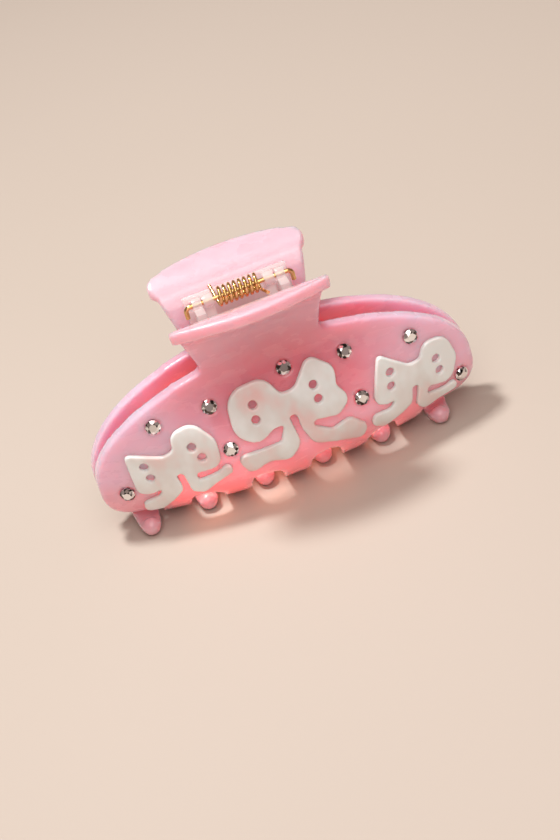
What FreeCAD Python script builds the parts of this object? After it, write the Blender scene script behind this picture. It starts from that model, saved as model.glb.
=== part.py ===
"""Spring hair claw: two formed acetate jaws on a clear plastic hinge with a wire spring.

Frame: X along the clip, -Y towards the front jaw, +Z up to the finger handles.  The
hinge pin lies on the line Y = 0 at the height pin_height, and the clip stands on its
tooth tips at Z = 0.  Sizes are in millimetres.
"""
import FreeCAD, Part
import math
import os

import Sketcher

from FreeCAD import Placement, Rotation, Vector

SIZES = [
    ("sheet_thickness", 3.4, "acetate sheet of each jaw"),
    ("half_length", 51.8, "half the length of a jaw panel"),
    ("fullness", 1.2, "how late the belly dies away towards the ends"),
    ("formed_half_length", 53.5, "half the length of the forming mould"),
    ("pin_height", 56.0, "hinge pin above the surface the tooth tips stand on"),
    ("hinge_shift", -1.2, "hinge, neck and handle sit this far off the middle of the panel"),
    ("panel_arch", 25.0, "rise of the panel's elliptical top edge"),
    ("panel_side_height", 17.0, "height of the ends where the panel is longest"),
    ("corner_radius", 7.5, "lower corners of the panel"),
    ("panel_bottom", 6.2, "straight bottom edge beyond the last tooth"),
    ("gap_root_height", 10.8, "roots of the tooth gaps in the middle"),
    ("gap_root_drop", 4.6, "how much lower the roots are at the last tooth"),
    ("gap_width", 7.0, "clear gap between two teeth at the root"),
    ("neck_half_width", 15.8, "neck between panel and handle"),
    ("neck_fillet", 1.6, "fillet from the neck into the top edge"),
    ("neck_flare", 3.8, "how much wider the neck gets up to the pin"),
    ("handle_half_width", 22.7, "handle at its lip"),
    ("handle_reach", 18.8, "middle of the lip, out from the hinge line"),
    ("handle_corner_reach", 13.2, "corners of the lip, out from the hinge line"),
    ("handle_corner_radius", 3.0, "rounded corners of the lip"),
    ("tooth_pitch", 16.25, "spacing of the teeth of one jaw"),
    ("tooth_shift", -1.8, "teeth sit this far off the middle of the panel"),
    ("tooth_root_width", 9.2, "tooth where it leaves the panel"),
    ("tooth_tip_width", 5.0, "rounded tooth tip"),
    ("pin_radius", 0.6, "wire of the hinge pin"),
    ("pin_half_span", 13.1, "from the middle to each bend of the pin"),
    ("pin_bend_radius", 1.2, "bend at each end of the pin"),
    ("pin_leg", 1.8, "straight end after the bend"),
    ("pin_clearance", 0.05, "radial play of the pin in the knuckles"),
    ("knuckle_radius", 1.75, "outside of the hinge knuckles"),
    ("leaf_thickness", 1.3, "clear plate behind each handle"),
    ("leaf_half_width", 14.0, "half the width of the clear plate"),
    ("leaf_top", -1.2, "top edge of the plate below the pin"),
    ("leaf_bottom", -11.0, "bottom edge of the plate below the pin"),
    ("inner_knuckle_offset", 8.2, "middle of the rear leaf's knuckles"),
    ("inner_knuckle_width", 2.6, "width of the rear leaf's knuckles"),
    ("outer_knuckle_offset", 11.2, "middle of the front leaf's knuckles"),
    ("outer_knuckle_width", 2.4, "width of the front leaf's knuckles"),
    ("web_height", 5.0, "height of the web that carries a knuckle"),
    ("web_reach", 4.9, "from the pin's plane to where the web ends inside the plate"),
    ("web_drop", 5.4, "bottom of the web below the pin"),
    ("window_width", 3.0, "moulded windows in the plate"),
    ("window_height", 2.2, "moulded windows in the plate"),
    ("window_offset", 11.2, "middle of each window"),
    ("window_drop", 2.2, "top of each window below the pin"),
    ("coil_radius", 2.2, "middle of the spring wire from the pin's axis"),
    ("coil_wire_radius", 0.45, "spring wire"),
    ("coil_turns", 8, "turns of the spring"),
    ("coil_pitch", 1.38, "advance of the spring in a turn"),
    ("spring_leg", 6.2, "straight legs that bear on the plates"),
    ("spring_leg_slope", 20.0, "rise of each leg in degrees"),
    ("bow_thickness", 1.2, "pearl bows raised from the belly"),
    ("bow_hole_radius", 1.15, "holes in the bow loops"),
    ("stone_radius", 2.0, "girdle of a rhinestone"),
    ("stone_seat_radius", 1.9, "back of a rhinestone in its seat"),
    ("stone_seat_depth", 0.9, "depth of the seat below the belly"),
    ("stone_back_depth", 0.8, "back of the rhinestone below the belly"),
    ("stone_girdle", 0.25, "height of the girdle"),
    ("stone_crown", 0.95, "height of the table above the belly"),
    ("stone_table_radius", 1.15, "flat table of the rhinestone"),
    ("seat_clearance", 0.05, "play between a rhinestone and its seat"),
    ("decoration_shift", 1.2, "bows and stones sit this far off the middle"),
]

# Middle line of the sheet, from the lip of the handle down to the tooth tip:
# (distance out from the hinge line, height above the pin), in the middle of the clip
# and at its ends.
MIDDLE_PROFILE = [
    (18.8, 2.2), (13.6, 1.2), (9.4, -1.6), (6.9, -6.5), (5.8, -12.0), (5.8, -17.5), (8.0, -24.0),
    (11.0, -30.5), (13.3, -37.5), (13.4, -44.0), (10.4, -49.8), (5.2, -53.3), (-0.5, -54.2), (-6.5, -54.2),
]
END_PROFILE = [
    (18.8, 2.2), (13.6, 1.2), (9.4, -1.6), (6.0, -6.5), (4.0, -12.0), (2.9, -17.5), (2.3, -24.0),
    (2.1, -30.5), (2.1, -37.5), (2.1, -43.5), (1.3, -48.4), (-1.0, -51.8), (-5.0, -53.8), (-10.5, -54.2),
]
# Sections of the forming mould along the clip, and points taken along each section.
STATIONS = [-53.4, -50.5, -45.0, -37.0, -27.0, -14.0, 0.0, 14.0, 27.0, 37.0, 45.0, 50.5, 53.4]
PROFILE_SAMPLES = 27

# Bow outlines in their own plane, about the knot: (x, z, corner radius).
SIDE_BOW = [
    (-9.8, 8.0, 1.2), (-1.2, 3.4, 3.0), (2.0, 3.8, 1.5), (3.0, 7.8, 3.5), (9.8, 8.2, 4.4), (13.0, 1.4, 4.4),
    (11.0, -5.4, 3.4), (4.0, -4.4, 0.8), (3.6, -6.8, 0.8), (9.0, -6.8, 3.0), (12.4, -5.4, 1.2),
    (13.0, -8.4, 1.3), (7.4, -9.6, 3.0), (3.2, -11.2, 1.8), (0.5, -9.2, 2.0), (1.0, -2.8, 0.6),
    (-0.8, -2.8, 0.6), (-0.8, -7.4, 2.5), (-4.0, -9.6, 3.0), (-9.0, -12.0, 2.0), (-13.2, -10.4, 1.8),
    (-12.0, -7.4, 1.6), (-7.4, -7.0, 2.0), (-5.2, -4.6, 0.5), (-8.4, -5.4, 2.4), (-12.0, -4.2, 2.4),
    (-11.0, 2.0, 2.0),
]
SIDE_BOW_HOLES = [(6.6, 2.6), (7.5, -0.9), (-6.7, 2.9), (-6.8, -0.7)]
CENTRE_BOW = [
    (-14.6, 9.2, 6.0), (-3.6, 9.8, 4.6), (-0.8, 4.6, 2.0), (3.0, 4.8, 3.0), (8.8, 11.0, 2.6), (14.6, 6.0, 3.0),
    (13.4, 1.6, 2.0), (16.0, -2.4, 2.4), (11.8, -5.6, 3.0), (4.6, -4.2, 0.8), (4.8, -5.8, 0.6),
    (9.0, -8.6, 2.0), (14.4, -7.4, 2.6), (18.4, -12.0, 2.2), (16.2, -15.4, 1.8), (3.2, -10.4, 3.6),
    (1.4, -5.0, 2.0), (1.2, -1.0, 0.6), (-0.8, -1.0, 0.6), (0.2, -8.6, 3.0), (-3.6, -12.6, 2.6),
    (-9.0, -10.8, 4.0), (-14.6, -13.2, 2.2), (-17.2, -7.0, 1.8), (-10.6, -7.0, 3.0), (-4.6, -6.6, 1.0),
    (-2.6, -2.4, 0.6), (-5.4, -2.6, 1.6), (-10.2, -5.2, 3.8), (-15.6, -1.8, 5.0),
]
CENTRE_BOW_HOLES = [(-8.5, 4.5), (-9.0, 0.9), (7.8, 3.9), (7.9, 0.3)]
# Knot of each bow on the belly: (name, outline, holes, x, z above the pin, lean in degrees).
BOWS = [
    ("left", SIDE_BOW, SIDE_BOW_HOLES, -33.2, -36.0, 12.0),
    ("centre", CENTRE_BOW, CENTRE_BOW_HOLES, -0.6, -31.0, 0.0),
    ("right", SIDE_BOW, SIDE_BOW_HOLES, 33.2, -36.8, -12.0),
]
# Rhinestones on the belly: (x, z above the pin).
STONES = [
    (1.6, -21.2), (-19.5, -24.1), (17.7, -23.1), (-18.0, -35.7), (18.1, -35.6),
    (-34.6, -24.9), (35.4, -27.0), (-46.6, -42.3), (46.2, -44.9),
]
FRONT_TEETH = [-2, -1, 0, 1, 2]
REAR_TEETH = [-2.5, -1.5, -0.5, 0.5, 1.5, 2.5]

# Depth of a cutting blank: more than a jaw reaches out from the hinge line.
BLANK_DEPTH = 45.0
# How far a cutting blank runs past the face it cuts.
OVERRUN = 1.0
# Radius that keeps a blank's corner from being razor sharp.
CORNER = 0.3


def make_sizes(doc):
    """Put the driving dimensions in a spreadsheet and return it."""
    sheet = doc.addObject("Spreadsheet::Sheet", "sizes")
    for row, (alias, value, note) in enumerate(SIZES, start=1):
        sheet.set("A%d" % row, note)
        sheet.set("B%d" % row, str(value))
        sheet.setAlias("B%d" % row, alias)
    doc.recompute()
    return sheet


# ---------------------------------------------------------------- formed sheet

def blend(sheet, x):
    """Share of the middle profile in the section at x."""
    ratio = min(1.0, abs(x) / sheet.formed_half_length)
    return (1.0 - ratio ** 2) ** sheet.fullness


def section_curve(sheet, x):
    """Middle line of the sheet at x, as a curve in the plane (out, height above pin)."""
    share = blend(sheet, x)
    points = []
    for (mid_out, mid_up), (end_out, end_up) in zip(MIDDLE_PROFILE, END_PROFILE):
        out = end_out + (mid_out - end_out) * share
        up = end_up + (mid_up - end_up) * share
        points.append(Vector(out, up, 0))
    curve = Part.BSplineCurve()
    curve.interpolate(points)
    return curve


def offset_row(sheet, x, offset):
    """Points of the section at x, moved outwards by offset along its normal."""
    curve = section_curve(sheet, x)
    first, last = curve.FirstParameter, curve.LastParameter
    row = []
    for i in range(PROFILE_SAMPLES):
        parameter = first + (last - first) * i / (PROFILE_SAMPLES - 1)
        point = curve.value(parameter)
        along = curve.tangent(parameter)[0]
        outward = Vector(-along.y, along.x, 0)
        moved = point + outward * offset
        row.append(Vector(x, -moved.x, moved.y + sheet.pin_height))
    return row


def offset_surface(sheet, offset):
    """The front jaw's forming surface, moved outwards by offset."""
    surface = Part.BSplineSurface()
    surface.interpolate([offset_row(sheet, x, offset) for x in STATIONS])
    return surface


def formed_layer(sheet, inner, outer):
    """Solid layer of the front jaw between two offsets of its forming surface."""
    inner_face = offset_surface(sheet, inner).toShape()
    outer_face = offset_surface(sheet, outer).toShape()
    faces = [inner_face, outer_face]
    for edge_a, edge_b in zip(inner_face.Edges, outer_face.Edges):
        faces.append(Part.makeRuledSurface(edge_a, edge_b))
    shell = Part.makeShell(faces)
    shell.sewShape()
    solid = Part.makeSolid(Part.Shell(shell.Faces))
    if solid.Volume < 0:
        solid.reverse()
    return solid


def belly_point(sheet, x, up, offset):
    """Point of the front belly at x and a height above the pin, and its outward normal."""
    surface = offset_surface(sheet, offset)
    height = up + sheet.pin_height
    level = Part.LineSegment(Vector(x, 0, height), Vector(x, -BLANK_DEPTH, height))
    point = surface.toShape().section(level.toShape()).Vertexes[0].Point
    u, v = surface.parameter(point)
    normal = surface.normal(u, v)
    if normal.y > 0:
        normal = normal * -1
    return point, normal


# -------------------------------------------------------------------- outlines

def rounded_wire(corners):
    """Closed wire through (x, z, radius) corners in the XZ plane, arcs at the corners."""
    edges = []
    starts, ends = [], []
    count = len(corners)
    for i, (x, z, radius) in enumerate(corners):
        before = corners[i - 1]
        after = corners[(i + 1) % count]
        here = Vector(x, 0, z)
        to_before = (Vector(before[0], 0, before[1]) - here).normalize()
        to_after = (Vector(after[0], 0, after[1]) - here).normalize()
        half_angle = to_before.getAngle(to_after) / 2
        setback = radius / math.tan(half_angle)
        bisector = (to_before + to_after).normalize()
        centre = here + bisector * (radius / math.sin(half_angle))
        middle = centre - bisector * radius
        starts.append(here + to_before * setback)
        ends.append(here + to_after * setback)
        edges.append(Part.Arc(starts[i], middle, ends[i]).toShape())
    outline = []
    for i in range(count):
        outline.append(edges[i])
        outline.append(Part.LineSegment(ends[i], starts[(i + 1) % count]).toShape())
    return Part.Wire(outline)


def prism(wire, direction):
    """Solid swept from a flat wire."""
    return Part.Face(wire).extrude(direction)


def box(x0, x1, y0, y1, z0, z1):
    return Part.makeBox(x1 - x0, y1 - y0, z1 - z0, Vector(x0, y0, z0))


def ellipse_height(sheet, x):
    """Height of the panel's top edge at x."""
    ratio = x / sheet.half_length
    return sheet.panel_side_height + sheet.panel_arch * math.sqrt(1.0 - ratio ** 2)


def panel_volume(sheet):
    """Everything in front that belongs to the panel, seen square on."""
    side = sheet.panel_side_height
    centre = Vector(0, 0, side)
    major = Vector(sheet.half_length, 0, side)
    minor = Vector(0, 0, side + sheet.panel_arch)
    arch = Part.Arc(Part.Ellipse(major, minor, centre), 0.0, math.pi).toShape()
    left, right = -sheet.half_length, sheet.half_length
    bottom = sheet.panel_bottom
    radius = sheet.corner_radius
    bend = radius * (1 - math.cos(math.radians(45)))
    lower = [
        Part.LineSegment(Vector(left, 0, side), Vector(left, 0, bottom + radius)),
        Part.Arc(Vector(left, 0, bottom + radius), Vector(left + bend, 0, bottom + bend),
                 Vector(left + radius, 0, bottom)),
        Part.LineSegment(Vector(left + radius, 0, bottom), Vector(right - radius, 0, bottom)),
        Part.Arc(Vector(right - radius, 0, bottom), Vector(right - bend, 0, bottom + bend),
                 Vector(right, 0, bottom + radius)),
        Part.LineSegment(Vector(right, 0, bottom + radius), Vector(right, 0, side)),
    ]
    wire = Part.Wire(Part.__sortEdges__([arch] + [line.toShape() for line in lower]))
    return prism(wire, Vector(0, -BLANK_DEPTH, 0)).translated(Vector(0, BLANK_DEPTH / 2, 0))


def gap_root(sheet, x):
    """Height of the roots of the tooth gaps at x."""
    last_tooth = 2.5 * sheet.tooth_pitch
    return sheet.gap_root_height - sheet.gap_root_drop * (x / last_tooth) ** 2


def tilt(out, up):
    """Distance along the plane that the teeth are cut in, for a point of the section."""
    return -(out + up) * math.sqrt(0.5)


def tilt_at(sheet, x, height):
    """Where the middle of the sheet at x passes a height, measured in the tooth plane."""
    curve = section_curve(sheet, x)
    up = height - sheet.pin_height
    level = Part.LineSegment(Vector(-BLANK_DEPTH, up, 0), Vector(BLANK_DEPTH, up, 0))
    point = curve.toShape().section(level.toShape()).Vertexes[0].Point
    return tilt(point.x, point.y)


def tooth_plane_prism(sheet, corners):
    """Prism square to the tooth plane from (x, distance, radius) corners."""
    lowest = MIDDLE_PROFILE[-1][1]
    wire = rounded_wire([(x, -distance, radius) for x, distance, radius in corners])
    solid = prism(wire, Vector(0, BLANK_DEPTH, 0)).translated(Vector(0, lowest - 6.0, 0))
    solid.rotate(Vector(0, 0, 0), Vector(1, 0, 0), 45)
    return solid.translated(Vector(0, 0, sheet.pin_height))


def tooth_volume(sheet, x):
    """One tooth, from inside the panel to its rounded tip."""
    overlap = 3.0
    root = tilt_at(sheet, x, gap_root(sheet, x)) - overlap
    curve = section_curve(sheet, x)
    lip = curve.value(curve.LastParameter)
    tip = tilt(lip.x, lip.y)
    wide = sheet.tooth_root_width / 2
    narrow = sheet.tooth_tip_width / 2
    return tooth_plane_prism(sheet, [
        (x - wide, root, CORNER), (x + wide, root, CORNER),
        (x + narrow, tip, narrow * 0.93), (x - narrow, tip, narrow * 0.93),
    ])


def gap_volume(sheet, x):
    """The rounded root of the gap between two teeth."""
    root = tilt_at(sheet, x, gap_root(sheet, x))
    half = sheet.gap_width / 2
    spread = sheet.tooth_pitch / 2 - 0.5
    past_tips = root + 14.0
    return tooth_plane_prism(sheet, [
        (x - half, root, half * 0.95), (x + half, root, half * 0.95),
        (x + spread, past_tips, CORNER), (x - spread, past_tips, CORNER),
    ])


def neck_volume(sheet):
    """The neck, seen square on, with its fillets into the panel's top edge."""
    neck = sheet.neck_half_width
    top = sheet.pin_height - OVERRUN
    shoulder = neck + 9.0
    corner = ellipse_height(sheet, neck)
    side = [
        (shoulder, corner - 12.0, CORNER), (shoulder, ellipse_height(sheet, shoulder), CORNER),
        (neck, corner + 0.2, sheet.neck_fillet), (neck + sheet.neck_flare, top, CORNER),
    ]
    mirrored = [(-x, z, radius) for x, z, radius in reversed(side)]
    blank = prism(rounded_wire(side + mirrored), Vector(0, -BLANK_DEPTH, 0))
    return blank.translated(Vector(0, BLANK_DEPTH / 2, 0))


def handle_volume(sheet):
    """The flared finger handle, seen from above, with its arched lip."""
    base = sheet.pin_height - OVERRUN
    height = 12.0
    half = sheet.handle_half_width
    wide = half + 0.6
    root = sheet.neck_half_width + sheet.neck_flare
    back, flare_start, lip = 5.0, -9.0, -sheet.handle_corner_reach
    corners = [(root, back), (root, flare_start), (wide, lip), (wide, -BLANK_DEPTH),
               (-wide, -BLANK_DEPTH), (-wide, lip), (-root, flare_start), (-root, back)]
    points = [Vector(x, y, base) for x, y in corners]
    blank = Part.Face(Part.makePolygon(points + points[:1])).extrude(Vector(0, 0, height))
    rise = sheet.handle_reach - sheet.handle_corner_reach
    arch_radius = (half ** 2 + rise ** 2) / (2 * rise)
    arch = Part.makeCylinder(arch_radius, height, Vector(0, arch_radius - sheet.handle_reach, base))
    handle = blank.common(arch)
    tips = []
    for edge in handle.Edges:
        upright = abs(edge.tangentAt(edge.FirstParameter).z) > 0.99
        if upright and edge.CenterOfMass.y < lip + 2.0:
            tips.append(edge)
    return handle.makeFillet(sheet.handle_corner_radius, tips)


def jaw_volume(sheet, teeth, shift, tooth_shift):
    """Everything that the die leaves of the formed sheet for one jaw."""
    panel = panel_volume(sheet)
    pitch = sheet.tooth_pitch
    gaps = [gap_volume(sheet, (number + 0.5) * pitch + tooth_shift) for number in teeth[:-1]]
    fingers = [tooth_volume(sheet, number * pitch + tooth_shift) for number in teeth]
    sideways = Vector(shift, 0, 0)
    grip = [neck_volume(sheet).translated(sideways), handle_volume(sheet).translated(sideways)]
    return panel.cut(gaps).fuse(fingers + grip)


# ------------------------------------------------------------------ decoration

def seat_placement(sheet, x, up):
    """Placement that stands a piece on the front belly with its axis along the normal."""
    point, normal = belly_point(sheet, x, up, sheet.sheet_thickness / 2 + sheet.seat_clearance)
    return Placement(point, Rotation(Vector(0, 0, 1), normal))


def bow_outline(corners, holes, x, z, lean, hole_radius):
    """Face of one bow in the XZ plane, leaning about its knot."""
    outer = rounded_wire(corners)
    rings = [Part.Wire(Part.makeCircle(hole_radius, Vector(hx, 0, hz), Vector(0, -1, 0))) for hx, hz in holes]
    face = Part.Face([outer] + rings)
    face.rotate(Vector(0, 0, 0), Vector(0, -1, 0), lean)
    return face.translated(Vector(x, 0, z))


def half_turn(shape_object):
    """Turn a sub-part from the front jaw round to the rear jaw."""
    turn = Placement(Vector(0, 0, 0), Rotation(Vector(0, 0, 1), 180))
    shape_object.Placement = turn.multiply(shape_object.Placement)


# --------------------------------------------------------------- document parts

def add_feature(doc, name, shape):
    feature = doc.addObject("Part::Feature", name)
    feature.Label = name
    feature.Shape = shape
    return feature


def add_boolean(doc, kind, name, base, tool):
    feature = doc.addObject(kind, name)
    feature.Label = name
    feature.Base = base
    feature.Tool = tool
    return feature


def add_cylinder(doc, name, radius, length, placement):
    """Cylinder bound to the sheet by two expressions."""
    cylinder = doc.addObject("Part::Cylinder", name)
    cylinder.setExpression("Radius", radius)
    cylinder.setExpression("Height", length)
    cylinder.Placement = placement
    return cylinder


def build_jaw(doc, sheet, name, teeth, shift, tooth_shift):
    """Formed sheet, trimmed to the jaw's outline and drilled for its rhinestones."""
    half = sheet.sheet_thickness / 2
    formed = add_feature(doc, name + "_sheet", formed_layer(sheet, -half, half))
    outline = add_feature(doc, name + "_outline", jaw_volume(sheet, teeth, shift, tooth_shift))
    trimmed = add_boolean(doc, "Part::Common", name + "_trimmed", formed, outline)
    drills = add_feature(doc, name + "_seats", Part.makeCompound(seat_drills(sheet)))
    return add_boolean(doc, "Part::Cut", name, trimmed, drills)


def seat_drills(sheet):
    """One flat-bottomed seat for each rhinestone of a jaw."""
    radius = sheet.stone_seat_radius + sheet.seat_clearance
    depth = sheet.stone_seat_depth
    drills = []
    for x, up in STONES:
        drill = Part.makeCylinder(radius, depth + sheet.bow_thickness + OVERRUN, Vector(0, 0, -depth))
        drill.Placement = seat_placement(sheet, x + sheet.decoration_shift, up)
        drills.append(drill)
    return drills


def build_rhinestone(doc, sheet):
    """Body of one rhinestone, turned from its half section."""
    body = doc.addObject("PartDesign::Body", "rhinestone_pattern")
    sketch = body.newObject("Sketcher::SketchObject", "rhinestone_section")
    plane = [item for item in body.Origin.OriginFeatures if item.Role == "XZ_Plane"][0]
    sketch.AttachmentSupport = [(plane, "")]
    sketch.MapMode = "FlatFace"
    seat, girdle, table = sheet.stone_seat_radius, sheet.stone_radius, sheet.stone_table_radius
    back, rim, crown = -sheet.stone_back_depth, sheet.stone_girdle, sheet.stone_crown
    corners = [(0, back), (seat, back), (seat, 0), (girdle, 0), (girdle, rim), (table, crown), (0, crown)]
    bound = [
        ("stone_seat_radius", "-stone_back_depth"), ("stone_seat_radius", "0"), ("stone_radius", "0"),
        ("stone_radius", "stone_girdle"), ("stone_table_radius", "stone_crown"),
    ]
    vectors = [Vector(x, y, 0) for x, y in corners]
    for start, end in zip(vectors, vectors[1:] + vectors[:1]):
        sketch.addGeometry(Part.LineSegment(start, end), False)
    count = len(corners)
    for i in range(count):
        sketch.addConstraint(Sketcher.Constraint("Coincident", i, 2, (i + 1) % count, 1))
    sketch.addConstraint(Sketcher.Constraint("PointOnObject", 0, 1, -2))
    sketch.addConstraint(Sketcher.Constraint("PointOnObject", count - 1, 1, -2))
    sketch.addConstraint(Sketcher.Constraint("Horizontal", 0))
    sketch.addConstraint(Sketcher.Constraint("Horizontal", count - 2))
    for i, (across, along) in enumerate(bound, start=1):
        distance_x = sketch.addConstraint(Sketcher.Constraint("DistanceX", -1, 1, i, 1, corners[i][0]))
        sketch.setExpression("Constraints[%d]" % distance_x, "sizes." + across)
        if along == "0":
            sketch.addConstraint(Sketcher.Constraint("PointOnObject", i, 1, -1))
            continue
        height = abs(corners[i][1])
        if along.startswith("-"):
            distance_y = sketch.addConstraint(Sketcher.Constraint("DistanceY", i, 1, -1, 1, height))
        else:
            distance_y = sketch.addConstraint(Sketcher.Constraint("DistanceY", -1, 1, i, 1, height))
        sketch.setExpression("Constraints[%d]" % distance_y, "sizes." + along.lstrip("-"))
    turned = body.newObject("PartDesign::Revolution", "rhinestone_turned")
    turned.Profile = sketch
    turned.ReferenceAxis = (sketch, ["V_Axis"])
    turned.Angle = 360.0
    body.Tip = turned
    doc.recompute()
    return body


def place_rhinestones(doc, sheet, pattern, side):
    """Nine rhinestones of one jaw, each in its seat."""
    stones = []
    for number, (x, up) in enumerate(STONES, start=1):
        stone = add_feature(doc, "%s_rhinestone_%d" % (side, number), pattern.Shape.copy())
        stone.Placement = seat_placement(sheet, x + sheet.decoration_shift, up)
        if side == "rear":
            half_turn(stone)
        stones.append(stone)
    return stones


def build_bows(doc, sheet, side):
    """Three pearl bows, cut from a thin layer formed over the belly."""
    inner = sheet.sheet_thickness / 2
    layer = formed_layer(sheet, inner, inner + sheet.bow_thickness)
    raised_edge = Vector(0, 0, 0.6)
    panel = panel_volume(sheet).translated(raised_edge)
    bows = []
    for name, corners, holes, x, up, lean in BOWS:
        label = "%s_bow_%s" % (side, name)
        formed = add_feature(doc, label + "_layer", layer.copy())
        face = bow_outline(corners, holes, x + sheet.decoration_shift, up + sheet.pin_height, lean,
                           sheet.bow_hole_radius)
        slab = face.extrude(Vector(0, -BLANK_DEPTH, 0))
        outline = add_feature(doc, label + "_outline", slab.common(panel))
        bow = add_boolean(doc, "Part::Common", label, formed, outline)
        if side == "rear":
            half_turn(bow)
        bows.append(bow)
    return bows


def build_leaf(doc, sheet, name, knuckle_offset, knuckle_width, shift):
    """Clear hinge leaf in front of the pin: a formed plate, two webs and two knuckles."""
    inner = -sheet.sheet_thickness / 2
    layer = formed_layer(sheet, inner - sheet.leaf_thickness, inner)
    half = sheet.leaf_half_width
    pin = sheet.pin_height
    blank = box(-half, half, -BLANK_DEPTH, 0, pin + sheet.leaf_bottom, pin + sheet.leaf_top)
    window_x = sheet.window_width / 2
    windows = []
    for side in (-1, 1):
        middle = side * sheet.window_offset
        top = pin - sheet.window_drop
        windows.append(box(middle - window_x, middle + window_x, -BLANK_DEPTH, 0,
                           top - sheet.window_height, top))
    sideways = Vector(shift, 0, 0)
    outline = add_feature(doc, name + "_outline", blank.cut(windows).translated(sideways))
    formed = add_feature(doc, name + "_layer", layer)
    plate = add_boolean(doc, "Part::Common", name + "_plate", formed, outline)

    arms = []
    offset = "sizes." + knuckle_offset
    width = "sizes." + knuckle_width
    along_x = Rotation(Vector(0, 1, 0), 90)
    middle_offset = sheet.get(knuckle_offset)
    for side in (-1, 1):
        start = shift + side * middle_offset - sheet.get(knuckle_width) / 2
        ring = add_cylinder(doc, "%s_knuckle" % name, "sizes.knuckle_radius", width,
                            Placement(Vector(start, 0, pin), along_x))
        web = doc.addObject("Part::Box", "%s_web" % name)
        web.setExpression("Length", width)
        web.setExpression("Height", "sizes.web_height")
        web.setExpression("Width", "sizes.web_reach")
        web.Placement = Placement(Vector(start, -sheet.web_reach, pin - sheet.web_drop), Rotation())
        arms += [ring, web]
    body = doc.addObject("Part::MultiFuse", name + "_body")
    body.Shapes = [plate] + arms
    bore_start = shift - middle_offset - sheet.get(knuckle_width) / 2 - OVERRUN
    bore = add_cylinder(doc, name + "_bore", "sizes.pin_radius + sizes.pin_clearance",
                        "2 * %s + %s + 2 * %f" % (offset, width, OVERRUN),
                        Placement(Vector(bore_start, 0, pin), along_x))
    return add_boolean(doc, "Part::Cut", name, body, bore)


def build_pin(doc, sheet):
    """Gold wire pin, swept along a line with both ends bent down."""
    body = doc.addObject("PartDesign::Body", "hinge_pin")
    planes = {item.Role: item for item in body.Origin.OriginFeatures}
    bend = sheet.pin_bend_radius
    span = sheet.pin_half_span
    leg = sheet.pin_leg
    quarter = math.radians(45)
    path = body.newObject("Sketcher::SketchObject", "pin_path")
    path.AttachmentSupport = [(planes["XZ_Plane"], "")]
    path.MapMode = "FlatFace"
    for side in (-1, 1):
        centre = Vector(side * span, -bend, 0)
        top = Vector(side * span, 0, 0)
        corner = centre + Vector(side * bend * math.sin(quarter), bend * math.cos(quarter), 0)
        low = Vector(side * (span + bend), -bend, 0)
        end = low + Vector(0, -leg, 0)
        path.addGeometry(Part.Arc(top, corner, low), False)
        path.addGeometry(Part.LineSegment(low, end), False)
    path.addGeometry(Part.LineSegment(Vector(-span, 0, 0), Vector(span, 0, 0)), False)
    wire = body.newObject("Sketcher::SketchObject", "pin_wire")
    wire.AttachmentSupport = [(planes["YZ_Plane"], "")]
    wire.MapMode = "FlatFace"
    wire.addGeometry(Part.Circle(Vector(0, 0, 0), Vector(0, 0, 1), sheet.pin_radius), False)
    radius = wire.addConstraint(Sketcher.Constraint("Radius", 0, sheet.pin_radius))
    wire.setExpression("Constraints[%d]" % radius, "sizes.pin_radius")
    wire.addConstraint(Sketcher.Constraint("Coincident", 0, 3, -1, 1))
    doc.recompute()
    pipe = body.newObject("PartDesign::AdditivePipe", "pin_sweep")
    pipe.Profile = wire
    pipe.Spine = path
    body.Tip = pipe
    body.setExpression("Placement.Base.x", "sizes.hinge_shift")
    body.setExpression("Placement.Base.z", "sizes.pin_height")
    return body


def build_spring(doc, sheet):
    """Torsion spring round the pin, with a straight leg bearing on each clear plate."""
    both_slopes = 2 * sheet.spring_leg_slope / 360.0
    length = (sheet.coil_turns + both_slopes) * sheet.coil_pitch
    helix = Part.makeHelix(sheet.coil_pitch, length, sheet.coil_radius)
    helix.Placement = Placement(Vector(-length / 2, 0, 0), Rotation(Vector(0, 1, 0), 90))
    coil = helix.Edges[0]
    begin = coil.valueAt(coil.FirstParameter)
    angle = math.degrees(math.atan2(begin.z, begin.y))
    helix.rotate(Vector(0, 0, 0), Vector(1, 0, 0), -sheet.spring_leg_slope - 90.0 - angle)
    coil = helix.Edges[0]
    begin, finish = coil.valueAt(coil.FirstParameter), coil.valueAt(coil.LastParameter)
    leaving = coil.tangentAt(coil.FirstParameter)
    arriving = coil.tangentAt(coil.LastParameter)
    first_end = begin - leaving * sheet.spring_leg
    last_end = finish + arriving * sheet.spring_leg
    first_leg = Part.LineSegment(first_end, begin).toShape()
    last_leg = Part.LineSegment(finish, last_end).toShape()
    path = Part.Wire([first_leg, coil, last_leg])
    profile = Part.Wire(Part.makeCircle(sheet.coil_wire_radius, first_end, leaving))
    wound = path.makePipeShell([profile], True, True)
    mirrored = wound.mirror(Vector(0, 0, 0), Vector(1, 0, 0))
    spring = add_feature(doc, "torsion_spring", mirrored)
    spring.setExpression("Placement.Base.x", "sizes.hinge_shift")
    spring.setExpression("Placement.Base.z", "sizes.pin_height")
    return spring


def check(doc, parts):
    """Stop if anything in the document failed to build."""
    for item in doc.Objects:
        for state in item.State:
            if state in ("Invalid", "Error"):
                raise RuntimeError("%s is %s" % (item.Name, state))
    for part in parts:
        shape = part.Shape
        if shape.isNull() or not shape.isValid():
            raise RuntimeError("%s has no valid shape" % part.Label)
        bounds = shape.BoundBox
        print("%-22s solids %d  volume %8.1f  X %6.1f..%5.1f  Y %6.1f..%5.1f  Z %5.1f..%4.1f" % (
            part.Label, len(shape.Solids), shape.Volume, bounds.XMin, bounds.XMax,
            bounds.YMin, bounds.YMax, bounds.ZMin, bounds.ZMax))


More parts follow.
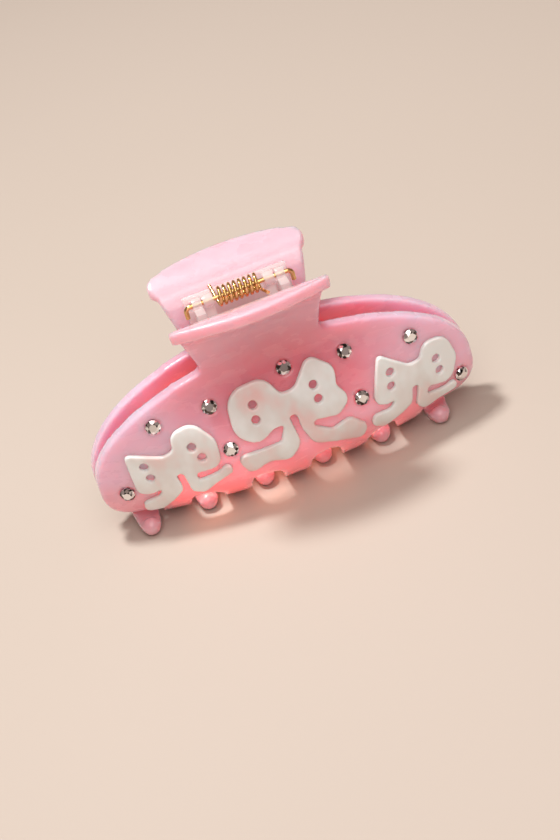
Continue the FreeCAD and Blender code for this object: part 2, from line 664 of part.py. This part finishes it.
def main():
    doc = FreeCAD.newDocument("hair_claw")
    sheet = make_sizes(doc)
    pattern = build_rhinestone(doc, sheet)
    parts = []
    jaws = [
        ("front", FRONT_TEETH, "outer_knuckle_offset", "outer_knuckle_width", 1),
        ("rear", REAR_TEETH, "inner_knuckle_offset", "inner_knuckle_width", -1),
    ]
    for side, teeth, knuckle_offset, knuckle_width, sense in jaws:
        shift = sense * sheet.hinge_shift
        jaw = build_jaw(doc, sheet, side + "_jaw", teeth, shift, sense * sheet.tooth_shift)
        leaf = build_leaf(doc, sheet, side + "_hinge_leaf", knuckle_offset, knuckle_width, shift)
        if side == "rear":
            half_turn(jaw)
            half_turn(leaf)
        parts += [jaw, leaf]
        parts += build_bows(doc, sheet, side)
        parts += place_rhinestones(doc, sheet, pattern, side)
    parts.append(build_pin(doc, sheet))
    parts.append(build_spring(doc, sheet))
    doc.recompute()
    check(doc, parts)
    os.makedirs("parts", exist_ok=True)
    for part in parts:
        part.Shape.exportStep("parts/%s.step" % part.Label)


main()
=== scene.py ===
"""Spring hair claw: pearly pink acetate jaws, raised bows, rhinestones and a clear hinge."""

import math

import bmesh
import bpy
import numpy as np
from mathutils import Matrix, Vector
from mathutils.bvhtree import BVHTree


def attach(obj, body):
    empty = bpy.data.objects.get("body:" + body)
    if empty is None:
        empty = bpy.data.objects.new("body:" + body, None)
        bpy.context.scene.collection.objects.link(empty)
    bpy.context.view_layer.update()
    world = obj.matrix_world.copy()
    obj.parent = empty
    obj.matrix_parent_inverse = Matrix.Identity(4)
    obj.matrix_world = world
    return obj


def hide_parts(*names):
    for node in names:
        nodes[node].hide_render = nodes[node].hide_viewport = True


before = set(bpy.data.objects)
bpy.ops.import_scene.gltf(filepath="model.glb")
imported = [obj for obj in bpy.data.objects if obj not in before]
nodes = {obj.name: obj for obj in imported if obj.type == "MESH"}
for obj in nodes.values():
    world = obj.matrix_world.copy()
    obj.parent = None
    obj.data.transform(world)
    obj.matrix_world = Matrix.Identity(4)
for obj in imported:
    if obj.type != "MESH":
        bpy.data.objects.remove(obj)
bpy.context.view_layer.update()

MM = 0.001
PIN_HEIGHT = 56.0 * MM
HINGE_SHIFT = -1.2 * MM
BODIES = ("front", "rear")


# ------------------------------------------------------------------- camera

def view_axes(azimuth, elevation, roll):
    """Right, up and back directions of a camera, all angles in degrees."""
    a, e, r = (math.radians(angle) for angle in (azimuth, elevation, roll))
    right = Vector((math.cos(a), math.sin(a), 0.0))
    back = Vector((math.sin(a) * math.cos(e), -math.cos(a) * math.cos(e), math.sin(e)))
    up = back.cross(right)
    rolled_right = right * math.cos(r) - up * math.sin(r)
    rolled_up = right * math.sin(r) + up * math.cos(r)
    return rolled_right, rolled_up, back


RIGHT, UP, BACK = view_axes(-5.5, 34.6, 17.8)
PIN = Vector((HINGE_SHIFT, 0.0, PIN_HEIGHT))
CAMERA_RIGHT, CAMERA_UP, CAMERA_BACK = 0.0105, -0.03295, 0.591
LENS, SENSOR_WIDTH = 100.7, 36.0


def seen_from_camera(right, up, back):
    """Point in the row frame from distances in metres along the camera's axes, about the pin."""
    return PIN + RIGHT * right + UP * up + BACK * back


def add_camera():
    data = bpy.data.cameras.new("camera")
    data.lens = LENS
    data.sensor_width = SENSOR_WIDTH
    camera = bpy.data.objects.new("camera", data)
    bpy.context.scene.collection.objects.link(camera)
    turn = Matrix((RIGHT, UP, BACK)).transposed().to_4x4()
    place = seen_from_camera(CAMERA_RIGHT, CAMERA_UP, CAMERA_BACK)
    camera.matrix_world = Matrix.Translation(place) @ turn
    bpy.context.scene.camera = camera


def add_area_light(name, place, target, size, power, colour, width=None):
    """A square light of one size, or a strip when width is given."""
    data = bpy.data.lights.new(name, "AREA")
    data.size = size
    if width is not None:
        data.shape = "RECTANGLE"
        data.size = width
        data.size_y = size
    data.energy = power
    data.color = colour
    light = bpy.data.objects.new(name, data)
    bpy.context.scene.collection.objects.link(light)
    light.location = place
    light.rotation_euler = (target - place).to_track_quat("-Z", "Y").to_euler()


def add_world(colour, strength):
    world = bpy.data.worlds.new("studio")
    world.use_nodes = True
    background = world.node_tree.nodes["Background"]
    background.inputs["Color"].default_value = colour
    background.inputs["Strength"].default_value = strength
    bpy.context.scene.world = world


# ---------------------------------------------------------------- materials

def rgb(code):
    """Linear colour of a hex colour code."""
    values = []
    for i in (0, 2, 4):
        v = int(code[i:i + 2], 16) / 255.0
        values.append(v / 12.92 if v <= 0.04045 else ((v + 0.055) / 1.055) ** 2.4)
    return (*values, 1.0)


def new_material(name, **sockets):
    """Material with a Principled shader; sockets are its uniform values."""
    material = bpy.data.materials.new(name)
    material.use_nodes = True
    shader = material.node_tree.nodes["Principled BSDF"]
    for label, value in sockets.items():
        shader.inputs[label.replace("_", " ")].default_value = value
    return material, material.node_tree, shader


def add_node(tree, kind, **settings):
    node = tree.nodes.new(kind)
    for label, value in settings.items():
        setattr(node, label, value)
    return node


def object_noise(tree, scale, detail=3.0, stretch=(1.0, 1.0, 1.0)):
    """Noise in the row frame, in cells per metre."""
    place = add_node(tree, "ShaderNodeTexCoord")
    mapping = add_node(tree, "ShaderNodeMapping")
    mapping.inputs["Scale"].default_value = stretch
    noise = add_node(tree, "ShaderNodeTexNoise")
    noise.inputs["Scale"].default_value = scale
    noise.inputs["Detail"].default_value = detail
    tree.links.new(place.outputs["Object"], mapping.inputs["Vector"])
    tree.links.new(mapping.outputs["Vector"], noise.inputs["Vector"])
    return noise.outputs["Fac"]


def ramp(tree, value, stops):
    """Colour ramp over (position, colour) stops."""
    node = add_node(tree, "ShaderNodeValToRGB")
    elements = node.color_ramp.elements
    while len(elements) < len(stops):
        elements.new(0.5)
    for element, (position, colour) in zip(elements, stops):
        element.position = position
        element.color = colour
    tree.links.new(value, node.inputs["Fac"])
    return node.outputs["Color"]


def maths(tree, operation, *values, clamp=False):
    node = add_node(tree, "ShaderNodeMath", operation=operation, use_clamp=clamp)
    for socket, value in zip(node.inputs, values):
        if isinstance(value, (int, float)):
            socket.default_value = value
        else:
            tree.links.new(value, socket)
    return node.outputs[0]


def mix_colours(tree, share, first, second):
    node = add_node(tree, "ShaderNodeMix", data_type="RGBA")
    tree.links.new(share, node.inputs["Factor"])
    for socket, value in ((node.inputs[6], first), (node.inputs[7], second)):
        if isinstance(value, tuple):
            socket.default_value = value
        else:
            tree.links.new(value, socket)
    return node.outputs[2]


def add_bump(tree, shader, height, strength, distance):
    bump = add_node(tree, "ShaderNodeBump")
    bump.inputs["Strength"].default_value = strength
    bump.inputs["Distance"].default_value = distance
    tree.links.new(height, bump.inputs["Height"])
    tree.links.new(bump.outputs["Normal"], shader.inputs["Normal"])


def to_range(tree, value, low, high):
    node = add_node(tree, "ShaderNodeMapRange")
    node.inputs["To Min"].default_value = low
    node.inputs["To Max"].default_value = high
    tree.links.new(value, node.inputs["Value"])
    return node.outputs["Result"]


def falloff(tree, value, centre, reach):
    """1 where value is at centre, falling to 0 at reach away, on a round curve."""
    away = maths(tree, "MULTIPLY", maths(tree, "SUBTRACT", value, centre), 1.0 / reach)
    return maths(tree, "SUBTRACT", 1.0, maths(tree, "MULTIPLY", away, away), clamp=True)


def acetate_material():
    """Pearly acetate in lavender pink with painted light and shade: painted shade in rose under the handle,
    and painted light through the sheet in salmon at the teeth and pale pink at the neck.
    """
    material, tree, shader = new_material(
        "pink_acetate", Subsurface_Weight=1.0, Subsurface_Scale=0.012, Coat_Weight=0.9,
        Coat_Roughness=0.08, IOR=1.5, Sheen_Weight=0.08, Sheen_Tint=rgb("F3DCF3"))
    shader.inputs["Subsurface Radius"].default_value = (1.0, 0.34, 0.36)
    place = add_node(tree, "ShaderNodeTexCoord")
    split = add_node(tree, "ShaderNodeSeparateXYZ")
    tree.links.new(place.outputs["Object"], split.inputs["Vector"])
    cloud = maths(tree, "SUBTRACT", object_noise(tree, 32.0, 2.0), 0.5)
    x = maths(tree, "MULTIPLY_ADD", cloud, 16.0 * MM, split.outputs["X"])
    z = maths(tree, "MULTIPLY_ADD", cloud, 10.0 * MM, split.outputs["Z"])
    # Painted shade: rose where the handle's shadow falls on the upper belly.
    painted_shade_under_handle = maths(tree, "MULTIPLY", falloff(tree, x, 2.0 * MM, 34.0 * MM),
                         falloff(tree, z, 33.0 * MM, 17.0 * MM))
    # Painted light: salmon toward the teeth stands in for light coming through the acetate.
    low = falloff(tree, z, 2.0 * MM, 16.0 * MM)
    # Painted light: paler pink at the neck and handle stands in for light glowing through the acetate.
    painted_glow_neck_and_handle = falloff(tree, z, 60.0 * MM, 16.0 * MM)
    colour = mix_colours(tree, painted_shade_under_handle, rgb("ECBED3"), rgb("D96F80"))
    colour = mix_colours(tree, low, colour, rgb("EE9CA6"))
    colour = mix_colours(tree, painted_glow_neck_and_handle, colour, rgb("E4B3C0"))
    pearl = object_noise(tree, 130.0, 4.0, (1.0, 1.0, 2.4))
    pearly = mix_colours(tree, to_range(tree, pearl, 0.0, 0.2), colour, rgb("FBE4EE"))
    tree.links.new(pearly, shader.inputs["Base Color"])
    tree.links.new(to_range(tree, pearl, 0.22, 0.32), shader.inputs["Roughness"])
    add_bump(tree, shader, object_noise(tree, 260.0, 2.0), 0.05, 0.0004)
    return material


def bow_material():
    """Pearl white with pink clouds where the acetate shows through."""
    material, tree, shader = new_material(
        "pearl_bow", Subsurface_Weight=0.4, Subsurface_Scale=0.0015, Coat_Weight=0.35,
        Coat_Roughness=0.12, IOR=1.48)
    shader.inputs["Subsurface Radius"].default_value = (1.0, 0.6, 0.6)
    marble = ramp(tree, object_noise(tree, 85.0, 3.0, (1.0, 1.0, 0.7)), [
        (0.40, rgb("F0F3F1")), (0.52, rgb("E6E3DF")), (0.68, rgb("EBC9C5")),
    ])
    tree.links.new(marble, shader.inputs["Base Color"])
    fine = object_noise(tree, 420.0, 3.0)
    tree.links.new(to_range(tree, fine, 0.26, 0.42), shader.inputs["Roughness"])
    add_bump(tree, shader, fine, 0.1, 0.0003)
    return material


def gold_material():
    material, tree, shader = new_material("gold_wire", Metallic=1.0)
    drawn = object_noise(tree, 900.0, 2.0, (0.15, 1.0, 1.0))
    colour = ramp(tree, drawn, [(0.3, rgb("D9AE6A")), (0.7, rgb("F0CF94"))])
    tree.links.new(colour, shader.inputs["Base Color"])
    tree.links.new(to_range(tree, drawn, 0.14, 0.3), shader.inputs["Roughness"])
    add_bump(tree, shader, drawn, 0.12, 0.0001)
    return material


def clear_material():
    material, tree, shader = new_material(
        "clear_plastic", Base_Color=rgb("FFF6F4"), IOR=1.5, Alpha=0.34, Coat_Weight=1.0, Coat_Roughness=0.04)
    haze = object_noise(tree, 300.0, 2.0)
    tree.links.new(to_range(tree, haze, 0.04, 0.16), shader.inputs["Roughness"])
    add_bump(tree, shader, haze, 0.15, 0.0003)
    return material


def stone_material():
    """Foiled glass with painted reflections: each facet carries a painted tone, black to white, that stands
    in for the light it catches.
    """
    material, tree, shader = new_material("rhinestone", Metallic=1.0, Roughness=0.06, Coat_Weight=0.5)
    tone = add_node(tree, "ShaderNodeAttribute", attribute_name="painted_glint_tone")
    colour = ramp(tree, tone.outputs["Fac"], [
        (0.0, rgb("1B1512")), (0.35, rgb("6A5C55")), (0.6, rgb("D8D2D0")), (1.0, rgb("FFFFFF")),
    ])
    tree.links.new(colour, shader.inputs["Base Color"])
    add_bump(tree, shader, object_noise(tree, 900.0, 1.0), 0.05, 0.0001)
    return material


def floor_material():
    material, tree, shader = new_material("floor", Roughness=0.75)
    paper = object_noise(tree, 3.0, 2.0)
    colour = ramp(tree, paper, [(0.3, rgb("BEB2A6")), (0.7, rgb("C2B6AB"))])
    tree.links.new(colour, shader.inputs["Base Color"])
    return material


MATERIALS = {
    "pink_acetate": acetate_material(),
    "pearl_bow": bow_material(),
    "gold_wire": gold_material(),
    "clear_plastic": clear_material(),
    "rhinestone": stone_material(),
}


# ------------------------------------------------------------------- pieces

def add_piece(name, mesh, body, slot, replaced):
    """Link a finished mesh as a piece that stands for CAD nodes."""
    piece = bpy.data.objects.new(name, mesh)
    bpy.context.scene.collection.objects.link(piece)
    mesh.materials.clear()
    mesh.materials.append(MATERIALS[slot])
    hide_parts(*replaced)
    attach(piece, body)
    return piece


def welded_copy(node):
    """Editable copy of a CAD node's mesh with its seams closed."""
    work = bmesh.new()
    work.from_mesh(nodes[node].data)
    bmesh.ops.remove_doubles(work, verts=work.verts, dist=0.002 * MM)
    return work


def applied(mesh, **modifiers):
    """Mesh with modifiers applied; each is a kind and its settings."""
    holder = bpy.data.objects.new("work", mesh)
    bpy.context.scene.collection.objects.link(holder)
    for kind, settings in modifiers.items():
        modifier = holder.modifiers.new(kind, kind)
        for label, value in settings.items():
            setattr(modifier, label, value)
    graph = bpy.context.evaluated_depsgraph_get()
    result = bpy.data.meshes.new_from_object(holder.evaluated_get(graph))
    bpy.data.objects.remove(holder)
    bpy.data.meshes.remove(mesh)
    return result


def softened(work, voxel, rounds):
    """Even mesh of a closed shape with its edges rounded off."""
    mesh = bpy.data.meshes.new("work")
    work.to_mesh(mesh)
    work.free()
    remesh = {"mode": "VOXEL", "voxel_size": voxel}
    smooth = {"factor": 0.5, "iterations": rounds}
    result = applied(mesh, REMESH=remesh, SMOOTH=smooth)
    result.shade_smooth()
    return result


TOOTH_PITCH = 16.25 * MM
TOOTH_SHIFT = -1.8 * MM
MOULD_HALF_LENGTH = 53.5 * MM
BALL_RADIUS = 2.45 * MM
BALL_HEIGHT = 2.4 * MM
BALL_REACH_AT_ENDS = 8.9
BALL_REACH_LOST_IN_MIDDLE = 4.0
REACH_CURVE = 1.2
JAW_VOXEL, JAW_ROUNDS = 0.42 * MM, 12
TEETH = {"front": (-2, -1, 0, 1, 2), "rear": (-2.5, -1.5, -0.5, 0.5, 1.5, 2.5)}


def make_jaw(side):
    """Formed sheet with a tumbled rim and a small ball at the end of each tooth."""
    work = welded_copy(side + "_jaw")
    inwards = 1.0 if side == "front" else -1.0
    for number in TEETH[side]:
        x = number * TOOTH_PITCH + TOOTH_SHIFT
        middle_share = (1.0 - (x / MOULD_HALF_LENGTH) ** 2) ** REACH_CURVE
        reach = (BALL_REACH_AT_ENDS - BALL_REACH_LOST_IN_MIDDLE * middle_share) * MM
        ball = Matrix.Translation(Vector((x, inwards * reach, BALL_HEIGHT)))
        bmesh.ops.create_icosphere(work, subdivisions=3, radius=BALL_RADIUS, matrix=ball)
    mesh = softened(work, JAW_VOXEL, JAW_ROUNDS)
    add_piece("jaw_" + side, mesh, side, "pink_acetate", [side + "_jaw"])


BOW_CONTACT = 0.3 * MM
BOW_SINK = 0.7 * MM
BOW_VOXEL, BOW_ROUNDS = 0.24 * MM, 20


def make_bow(side, place, jaw_tree):
    """Raised bow with soft edges, sunk a little into the jaw."""
    node = "%s_bow_%s" % (side, place)
    work = welded_copy(node)
    for vertex in work.verts:
        point, normal, _, distance = jaw_tree.find_nearest(vertex.co)
        if distance < BOW_CONTACT:
            vertex.co = point - normal * BOW_SINK
    mesh = softened(work, BOW_VOXEL, BOW_ROUNDS)
    add_piece("bow_%s_%s" % (side, place), mesh, side, "pearl_bow", [node])


LEAF_BEVEL = 0.22 * MM
LEAF_BEVEL_ANGLE = math.radians(50.0)
LEAF_SHARP_ANGLE = math.radians(35.0)
FLAT_ANGLE = math.radians(1.0)


def make_leaf(side):
    """Clear hinge plate with its moulded edges broken."""
    node = side + "_hinge_leaf"
    work = welded_copy(node)
    bmesh.ops.dissolve_limit(work, angle_limit=FLAT_ANGLE, verts=work.verts, edges=work.edges)
    mesh = bpy.data.meshes.new("leaf")
    work.to_mesh(mesh)
    work.free()
    bevel = {"width": LEAF_BEVEL, "segments": 2, "limit_method": "ANGLE",
             "angle_limit": LEAF_BEVEL_ANGLE}
    mesh = applied(mesh, BEVEL=bevel)
    mesh.shade_smooth()
    mesh.set_sharp_from_angle(angle=LEAF_SHARP_ANGLE)
    add_piece("leaf_" + side, mesh, side, "clear_plastic", [node])


def stone_axis(node):
    """Middle of a rhinestone's flat back and the direction that it faces."""
    mesh = nodes[node].data
    widest = max(mesh.polygons, key=lambda polygon: polygon.area)
    back = [p for p in mesh.polygons if p.normal.dot(widest.normal) > 0.9999]
    area = sum(p.area for p in back)
    middle = sum((p.center * p.area for p in back), Vector()) / area
    return middle, -widest.normal


def ring(work, count, radius, height, turn=0.0):
    """Circle of new vertices; turn is in steps of the circle."""
    made = []
    for i in range(count):
        angle = 2 * math.pi * (i + turn) / count
        made.append(work.verts.new((radius * math.cos(angle), radius * math.sin(angle), height)))
    return made


TABLE_RADIUS, TABLE_HEIGHT = 1.05 * MM, 0.95 * MM
STAR_RADIUS, STAR_HEIGHT = 1.52 * MM, 0.70 * MM
GIRDLE_RADIUS, GIRDLE_TOP, GIRDLE_BOTTOM = 2.0 * MM, 0.22 * MM, 0.02 * MM
SEAT_RADIUS, SEAT_DEPTH = 1.9 * MM, 0.8 * MM
PAINTED_GLINT_TONES = [0.05, 0.2, 0.7, 0.85, 1.0]
REAR_SEED_STEP = 40
STONE_TURN = 0.37


def stone_mesh(seed):
    """Brilliant-cut crown on a straight girdle and a flat foiled back."""
    work = bmesh.new()
    table = ring(work, 8, TABLE_RADIUS, TABLE_HEIGHT)
    star = ring(work, 8, STAR_RADIUS, STAR_HEIGHT, 0.5)
    girdle = ring(work, 16, GIRDLE_RADIUS, GIRDLE_TOP)
    low = ring(work, 16, GIRDLE_RADIUS, GIRDLE_BOTTOM)
    seat = ring(work, 16, SEAT_RADIUS, -SEAT_DEPTH)
    work.faces.new(table)
    for i in range(8):
        after = (i + 1) % 8
        work.faces.new((table[i], star[i], table[after]))
        work.faces.new((table[i], star[i - 1], girdle[2 * i], star[i]))
        work.faces.new((star[i], girdle[2 * i], girdle[2 * i + 1]))
        work.faces.new((star[i], girdle[2 * i + 1], girdle[(2 * i + 2) % 16]))
    for upper, lower in ((girdle, low), (low, seat)):
        for i in range(16):
            after = (i + 1) % 16
            work.faces.new((upper[i], lower[i], lower[after], upper[after]))
    work.faces.new(seat[::-1])
    bmesh.ops.recalc_face_normals(work, faces=work.faces)
    mesh = bpy.data.meshes.new("stone")
    work.to_mesh(mesh)
    work.free()
    # Painted reflections: one random tone per facet, black to white, stands in for the light each facet
    # would catch.
    tones = np.random.default_rng(seed).choice(PAINTED_GLINT_TONES, len(mesh.polygons))
    attribute = mesh.attributes.new("painted_glint_tone", "FLOAT", "FACE")
    attribute.data.foreach_set("value", tones.astype(np.float32))
    return mesh


def make_stone(side, number):
    """Faceted stone built new in the place of the plain CAD one."""
    node = "%s_rhinestone_%d" % (side, number)
    middle, facing = stone_axis(node)
    mesh = stone_mesh(number if side == "front" else number + REAR_SEED_STEP)
    turn = facing.to_track_quat("Z", "Y").to_matrix().to_4x4()
    spin = Matrix.Rotation(STONE_TURN * number, 4, "Z")
    mesh.transform(Matrix.Translation(middle + facing * SEAT_DEPTH) @ turn @ spin)
    add_piece("stone_%s_%d" % (side, number), mesh, side, "rhinestone", [node])


def finish_node(node, slot):
    """Give a carried-over CAD node its material."""
    mesh = nodes[node].data
    mesh.materials.clear()
    mesh.materials.append(MATERIALS[slot])


def add_floor():
    mesh = bpy.data.meshes.new("floor")
    work = bmesh.new()
    bmesh.ops.create_grid(work, x_segments=8, y_segments=8, size=4.0)
    work.to_mesh(mesh)
    work.free()
    floor = bpy.data.objects.new("floor", mesh)
    bpy.context.scene.collection.objects.link(floor)
    mesh.materials.append(floor_material())


add_camera()
add_floor()
for side in BODIES:
    jaw = nodes[side + "_jaw"]
    jaw_tree = BVHTree.FromObject(jaw, bpy.context.evaluated_depsgraph_get())
    make_jaw(side)
    for place in ("left", "centre", "right"):
        make_bow(side, place, jaw_tree)
    for number in range(1, 10):
        make_stone(side, number)
    make_leaf(side)
for node in ("hinge_pin", "torsion_spring"):
    finish_node(node, "gold_wire")

add_world(rgb("F6DACF"), 0.28)
add_area_light("key", Vector((-0.15, 0.17, 0.77)), PIN, 0.13, 5.6, (1.0, 0.99, 0.97))
add_area_light("overhead", Vector((0.02, -0.22, 0.85)), PIN, 0.7, 2.0, (1.0, 0.96, 0.94))
add_area_light("fill", seen_from_camera(-0.05, 0.12, 0.8), PIN, 0.6, 2.5, (1.0, 0.94, 0.91))
# Orange strip inside the closed clip. It stands in for light through the acetate; it is no studio light.
add_area_light("glow", Vector((-0.004, 0.002, 0.0125)), Vector((0.004, -0.03, 0.0)), 0.007, 0.0075,
               (1.0, 0.36, 0.20), width=0.066)
bpy.context.scene.view_settings.view_transform = "Standard"
